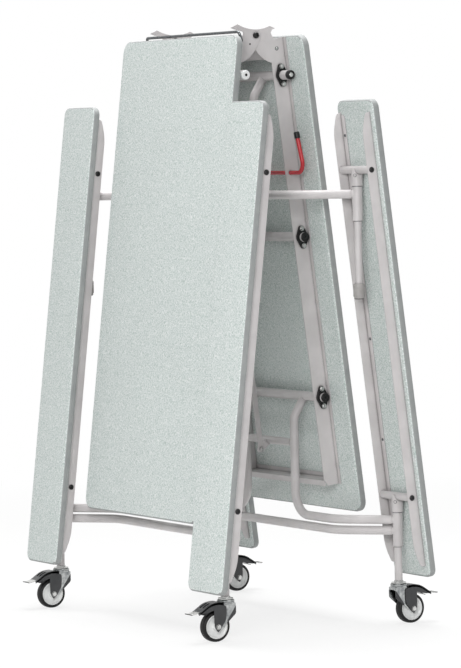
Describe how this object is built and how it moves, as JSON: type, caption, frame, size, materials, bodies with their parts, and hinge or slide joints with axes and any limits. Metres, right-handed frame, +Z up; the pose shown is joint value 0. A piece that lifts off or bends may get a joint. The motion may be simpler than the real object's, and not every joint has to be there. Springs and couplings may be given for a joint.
{
  "type": "folding bench table",
  "caption": "folding canteen table with attached benches on tube leg frames and braked casters, folded upright for storage, with a centre hinge and release handle",
  "frame": {"origin": "on the floor, under the centre of the folded table", "axes": "Z up, X along the opened table's length with the half that has the release handle on +X, Y across the table with the far bench on +Y"},
  "size_m": [0.9038, 1.302, 1.9034],
  "materials": {
    "laminate_board": "speckled grey-green laminate on chipboard, light grey edge band",
    "grey_paint": "light warm grey powder coat on steel tube and sheet",
    "black_plastic": "black moulded plastic",
    "black_steel": "black-coated bolt",
    "zinc_plate": "bright zinc-plated steel",
    "dark_steel": "dark plated steel",
    "red_paint": "red powder coat",
    "grey_foot": "grey foot with a black tip",
    "white_plastic": "white moulded plastic",
    "brake_paint": "dark grey brake pedal with a bright tread",
    "black_tyre": "black rubber tread"
  },
  "bodies": {
    "frame_right": {"caster_frame_right": "grey_paint", "caster_legs_right": "grey_paint", "outer_caps_right": "black_plastic", "caster_stems_right": "zinc_plate"},
    "table_right": {"top_right": "laminate_board", "aprons_right": "grey_paint", "cross_rails_right": "grey_paint", "bearings_right": "black_plastic", "fasteners_right": "zinc_plate"},
    "table_left": {"top_left": "laminate_board", "aprons_left": "grey_paint", "cross_rails_left": "grey_paint", "bearings_left": "black_plastic", "fasteners_left": "zinc_plate", "hinge_bolts": "black_steel"},
    "frame_left": {"caster_frame_left": "grey_paint", "caster_legs_left": "grey_paint", "outer_caps_left": "black_plastic", "caster_stems_left": "zinc_plate"},
    "inner_right": {"inner_frame_right": "grey_paint", "inner_legs_right": "grey_paint", "feet_right": "grey_foot", "shaft_caps_right": "black_plastic"},
    "inner_left": {"inner_frame_left": "grey_paint", "inner_legs_left": "grey_paint", "feet_left": "grey_foot", "shaft_plugs_left": "white_plastic"},
    "benches_right": {"bench_boards_right": "laminate_board", "bench_rails_right": "grey_paint", "bench_tubes_right": "grey_paint", "bench_bolts_right": "dark_steel"},
    "benches_left": {"bench_boards_left": "laminate_board", "bench_rails_left": "grey_paint", "bench_tubes_left": "grey_paint", "bench_bolts_left": "dark_steel"},
    "mid_right": {"mid_shaft_right": "grey_paint", "mid_caps_right": "black_plastic"},
    "mid_left": {"mid_shaft_left": "grey_paint", "mid_caps_left": "black_plastic"},
    "link_right": {"drag_link_right": "grey_paint"},
    "link_left": {"drag_link_left": "grey_paint"},
    "handle": {"release_handle": "red_paint", "handle_cap": "black_plastic"},
    "bail": {"latch_bail": "dark_steel"},
    "fork_right_near": {"fork_right_near": "zinc_plate"},
    "wheel_right_near": {"wheel_right_near": "white_plastic", "tyre_right_near": "black_tyre"},
    "pedal_right_near": {"pedal_right_near": "brake_paint"},
    "fork_right_far": {"fork_right_far": "zinc_plate"},
    "wheel_right_far": {"wheel_right_far": "white_plastic", "tyre_right_far": "black_tyre"},
    "pedal_right_far": {"pedal_right_far": "brake_paint"},
    "fork_left_near": {"fork_left_near": "zinc_plate"},
    "wheel_left_near": {"wheel_left_near": "white_plastic", "tyre_left_near": "black_tyre"},
    "pedal_left_near": {"pedal_left_near": "brake_paint"},
    "fork_left_far": {"fork_left_far": "zinc_plate"},
    "wheel_left_far": {"wheel_left_far": "white_plastic", "tyre_left_far": "black_tyre"},
    "pedal_left_far": {"pedal_left_far": "brake_paint"}
  },
  "joints": [
    {"name": "fold", "type": "hinge", "parent": "frame_right", "child": "table_right", "pos_m": [0.22086, 0, 0.709], "axis": [0, -1, 0], "range_deg": [0, 83]},
    {"name": "centre_hinge", "type": "hinge", "parent": "table_right", "child": "table_left", "pos_m": [0, 0, 1.86772], "axis": [0, -1, 0], "range_deg": [-166, 0]},
    {"name": "caster_frame_left_pivot", "type": "hinge", "parent": "table_left", "child": "frame_left", "pos_m": [-0.22086, 0, 0.709], "axis": [0, -1, 0], "range_deg": [0, 83]},
    {"name": "inner_frame_right_pivot", "type": "hinge", "parent": "table_right", "child": "inner_right", "pos_m": [0.09412, 0, 1.74125], "axis": [0, -1, 0], "range_deg": [-83, 0]},
    {"name": "inner_frame_left_pivot", "type": "hinge", "parent": "table_left", "child": "inner_left", "pos_m": [-0.09412, 0, 1.74125], "axis": [0, -1, 0], "range_deg": [0, 83]},
    {"name": "benches_right_pivot", "type": "hinge", "parent": "frame_right", "child": "benches_right", "pos_m": [0.31686, 0, 0.405], "axis": [0, -1, 0], "range_deg": [0, 83]},
    {"name": "benches_left_pivot", "type": "hinge", "parent": "frame_left", "child": "benches_left", "pos_m": [-0.31686, 0, 0.405], "axis": [0, -1, 0], "range_deg": [-83, 0]},
    {"name": "mid_shaft_right_pivot", "type": "hinge", "parent": "table_right", "child": "mid_right", "pos_m": [0.15749, 0, 1.22512], "axis": [0, -1, 0], "range_deg": [-83, 0]},
    {"name": "mid_shaft_left_pivot", "type": "hinge", "parent": "table_left", "child": "mid_left", "pos_m": [-0.15749, 0, 1.22512], "axis": [0, -1, 0], "range_deg": [0, 83]},
    {"name": "drag_link_right_pivot", "type": "hinge", "parent": "frame_right", "child": "link_right", "pos_m": [0.14386, 0, 0.531], "axis": [0, -1, 0], "range_deg": [0, 83]},
    {"name": "drag_link_left_pivot", "type": "hinge", "parent": "frame_left", "child": "link_left", "pos_m": [-0.14386, 0, 0.531], "axis": [0, -1, 0], "range_deg": [-83, 0]},
    {"name": "release_handle_turn", "type": "hinge", "parent": "table_right", "child": "handle", "pos_m": [0.1211, 0, 1.43123], "axis": [0, -1, 0], "range_deg": [0, 45], "stiffness_Nm_per_rad": 0.6, "springref_deg": -34.38},
    {"name": "latch_bail_lift", "type": "hinge", "parent": "table_left", "child": "bail", "pos_m": [-0.0709, 0, 1.84822], "axis": [0, -1, 0], "range_deg": [0, 30]},
    {"name": "swivel_right_near", "type": "hinge", "parent": "frame_right", "child": "fork_right_near", "pos_m": [0.31686, -0.545, 0.1], "axis": [0, 0, 1], "continuous": true},
    {"name": "wheel_spin_right_near", "type": "hinge", "parent": "fork_right_near", "child": "wheel_right_near", "pos_m": [0.35686, -0.545, 0.0475], "axis": [0, 1, 0], "continuous": true},
    {"name": "brake_right_near", "type": "hinge", "parent": "fork_right_near", "child": "pedal_right_near", "pos_m": [0.35686, -0.545, 0.0475], "axis": [0, 1, 0], "range_deg": [0, 10]},
    {"name": "swivel_right_far", "type": "hinge", "parent": "frame_right", "child": "fork_right_far", "pos_m": [0.31686, 0.545, 0.1], "axis": [0, 0, 1], "continuous": true},
    {"name": "wheel_spin_right_far", "type": "hinge", "parent": "fork_right_far", "child": "wheel_right_far", "pos_m": [0.35686, 0.545, 0.0475], "axis": [0, 1, 0], "continuous": true},
    {"name": "brake_right_far", "type": "hinge", "parent": "fork_right_far", "child": "pedal_right_far", "pos_m": [0.35686, 0.545, 0.0475], "axis": [0, 1, 0], "range_deg": [0, 10]},
    {"name": "swivel_left_near", "type": "hinge", "parent": "frame_left", "child": "fork_left_near", "pos_m": [-0.31686, -0.545, 0.1], "axis": [0, 0, 1], "continuous": true},
    {"name": "wheel_spin_left_near", "type": "hinge", "parent": "fork_left_near", "child": "wheel_left_near", "pos_m": [-0.35686, -0.545, 0.0475], "axis": [0, 1, 0], "continuous": true},
    {"name": "brake_left_near", "type": "hinge", "parent": "fork_left_near", "child": "pedal_left_near", "pos_m": [-0.35686, -0.545, 0.0475], "axis": [0, -1, 0], "range_deg": [0, 10]},
    {"name": "swivel_left_far", "type": "hinge", "parent": "frame_left", "child": "fork_left_far", "pos_m": [-0.31686, 0.545, 0.1], "axis": [0, 0, 1], "continuous": true},
    {"name": "wheel_spin_left_far", "type": "hinge", "parent": "fork_left_far", "child": "wheel_left_far", "pos_m": [-0.35686, 0.545, 0.0475], "axis": [0, 1, 0], "continuous": true},
    {"name": "brake_left_far", "type": "hinge", "parent": "fork_left_far", "child": "pedal_left_far", "pos_m": [-0.35686, 0.545, 0.0475], "axis": [0, -1, 0], "range_deg": [0, 10]}
  ],
  "couplings": [
    {"joint": "centre_hinge", "follows": "fold", "ratio": -2},
    {"joint": "caster_frame_left_pivot", "follows": "fold", "ratio": 1},
    {"joint": "inner_frame_right_pivot", "follows": "fold", "ratio": -1},
    {"joint": "inner_frame_left_pivot", "follows": "fold", "ratio": 1},
    {"joint": "benches_right_pivot", "follows": "fold", "ratio": 1},
    {"joint": "benches_left_pivot", "follows": "fold", "ratio": -1},
    {"joint": "mid_shaft_right_pivot", "follows": "fold", "ratio": -1},
    {"joint": "mid_shaft_left_pivot", "follows": "fold", "ratio": 1},
    {"joint": "drag_link_right_pivot", "follows": "fold", "ratio": 1},
    {"joint": "drag_link_left_pivot", "follows": "fold", "ratio": -1}
  ]
}
